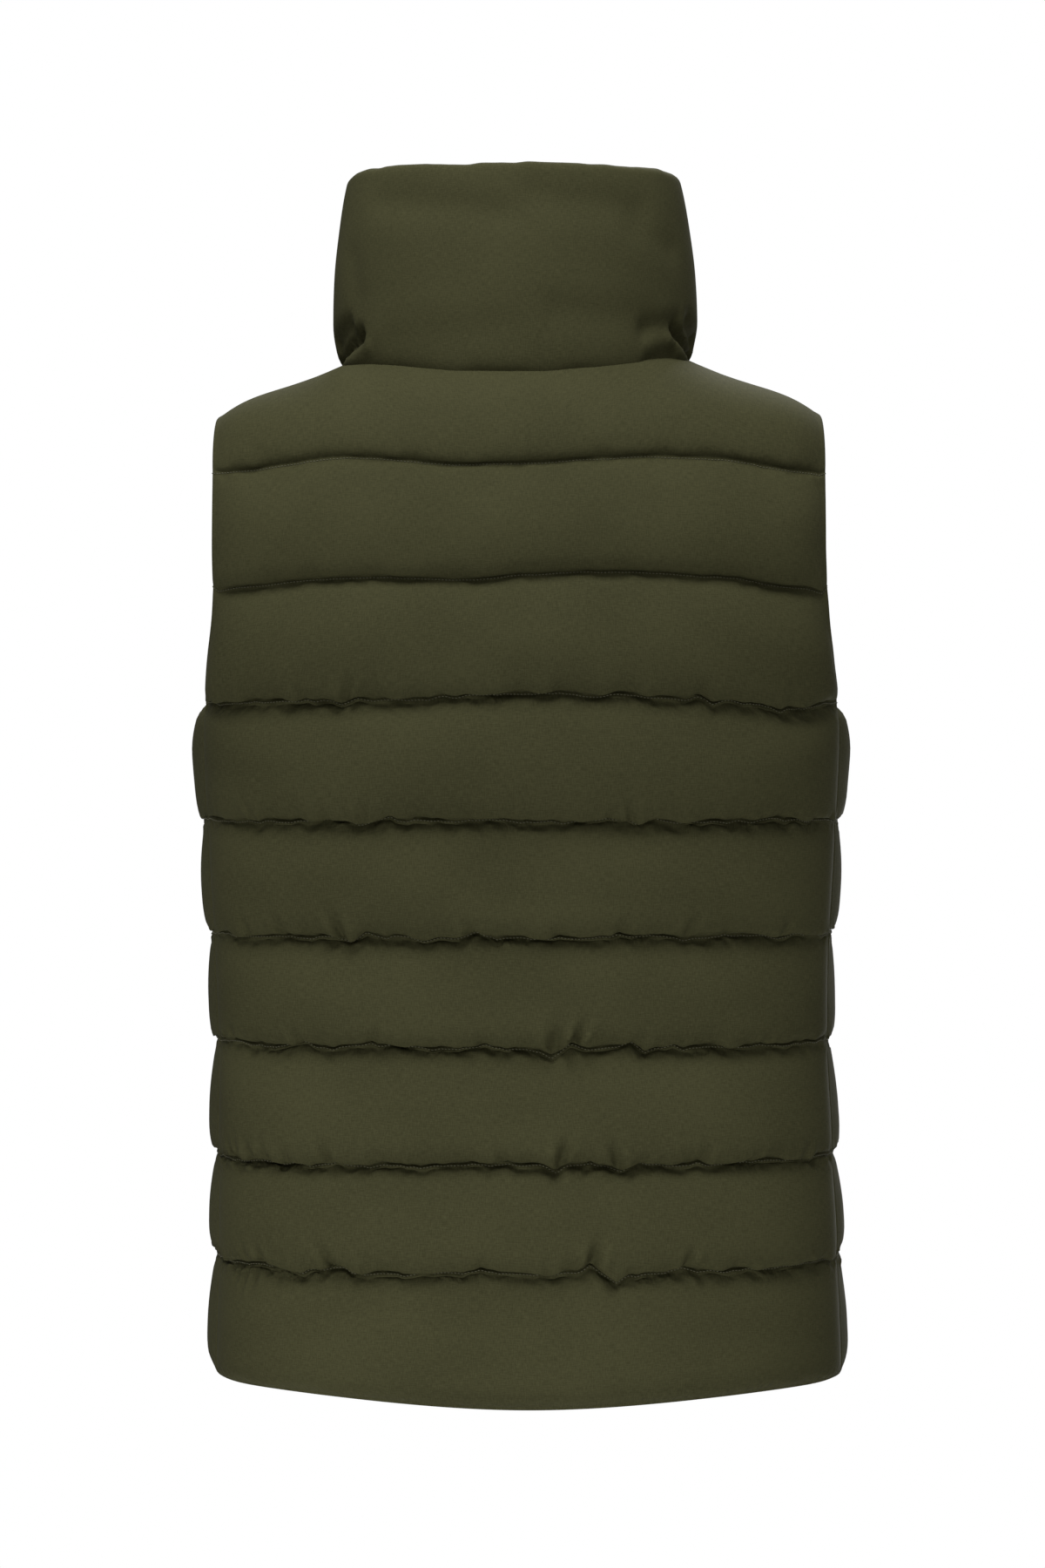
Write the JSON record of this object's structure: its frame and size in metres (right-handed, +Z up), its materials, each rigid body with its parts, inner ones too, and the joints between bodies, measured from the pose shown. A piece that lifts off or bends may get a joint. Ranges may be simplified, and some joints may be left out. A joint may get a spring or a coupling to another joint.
{
  "type": "quilted puffer vest",
  "caption": "Sleeveless quilted puffer vest with level padded channels, a tall padded stand collar and a front zip, in its hollow worn shape.",
  "frame": {"origin": "In the neck opening, midway between the shoulder ends of the neck seam, where the wearer's neck and shoulders hold the vest", "axes": "+Z up; -Y out of the front, where the zip is; +Y out of the back; +X to the wearer's left"},
  "size_m": [0.3989, 0.2609, 0.7293],
  "materials": {
    "shell": "matt plain-weave nylon, dark olive",
    "zip_tape": "matt woven tape, dark olive",
    "zip_teeth": "satin black",
    "metal": "dark gunmetal, satin"
  },
  "bodies": {
    "vest": {"back": "shell", "front_left": "shell", "front_right": "shell", "collar": "shell", "zip_tape_left": "zip_tape", "zip_tape_right": "zip_tape", "zip_chain": "zip_teeth", "zip_box": "zip_teeth", "zip_slider": "metal"},
    "pull": {"zip_pull": "metal"}
  },
  "joints": [
    {"name": "zip_pull_swing", "type": "hinge", "parent": "vest", "child": "pull", "pos_m": [0.00307, -0.09488, 0.07376], "axis": [-1, 0, 0], "range_deg": [0, 160]}
  ]
}
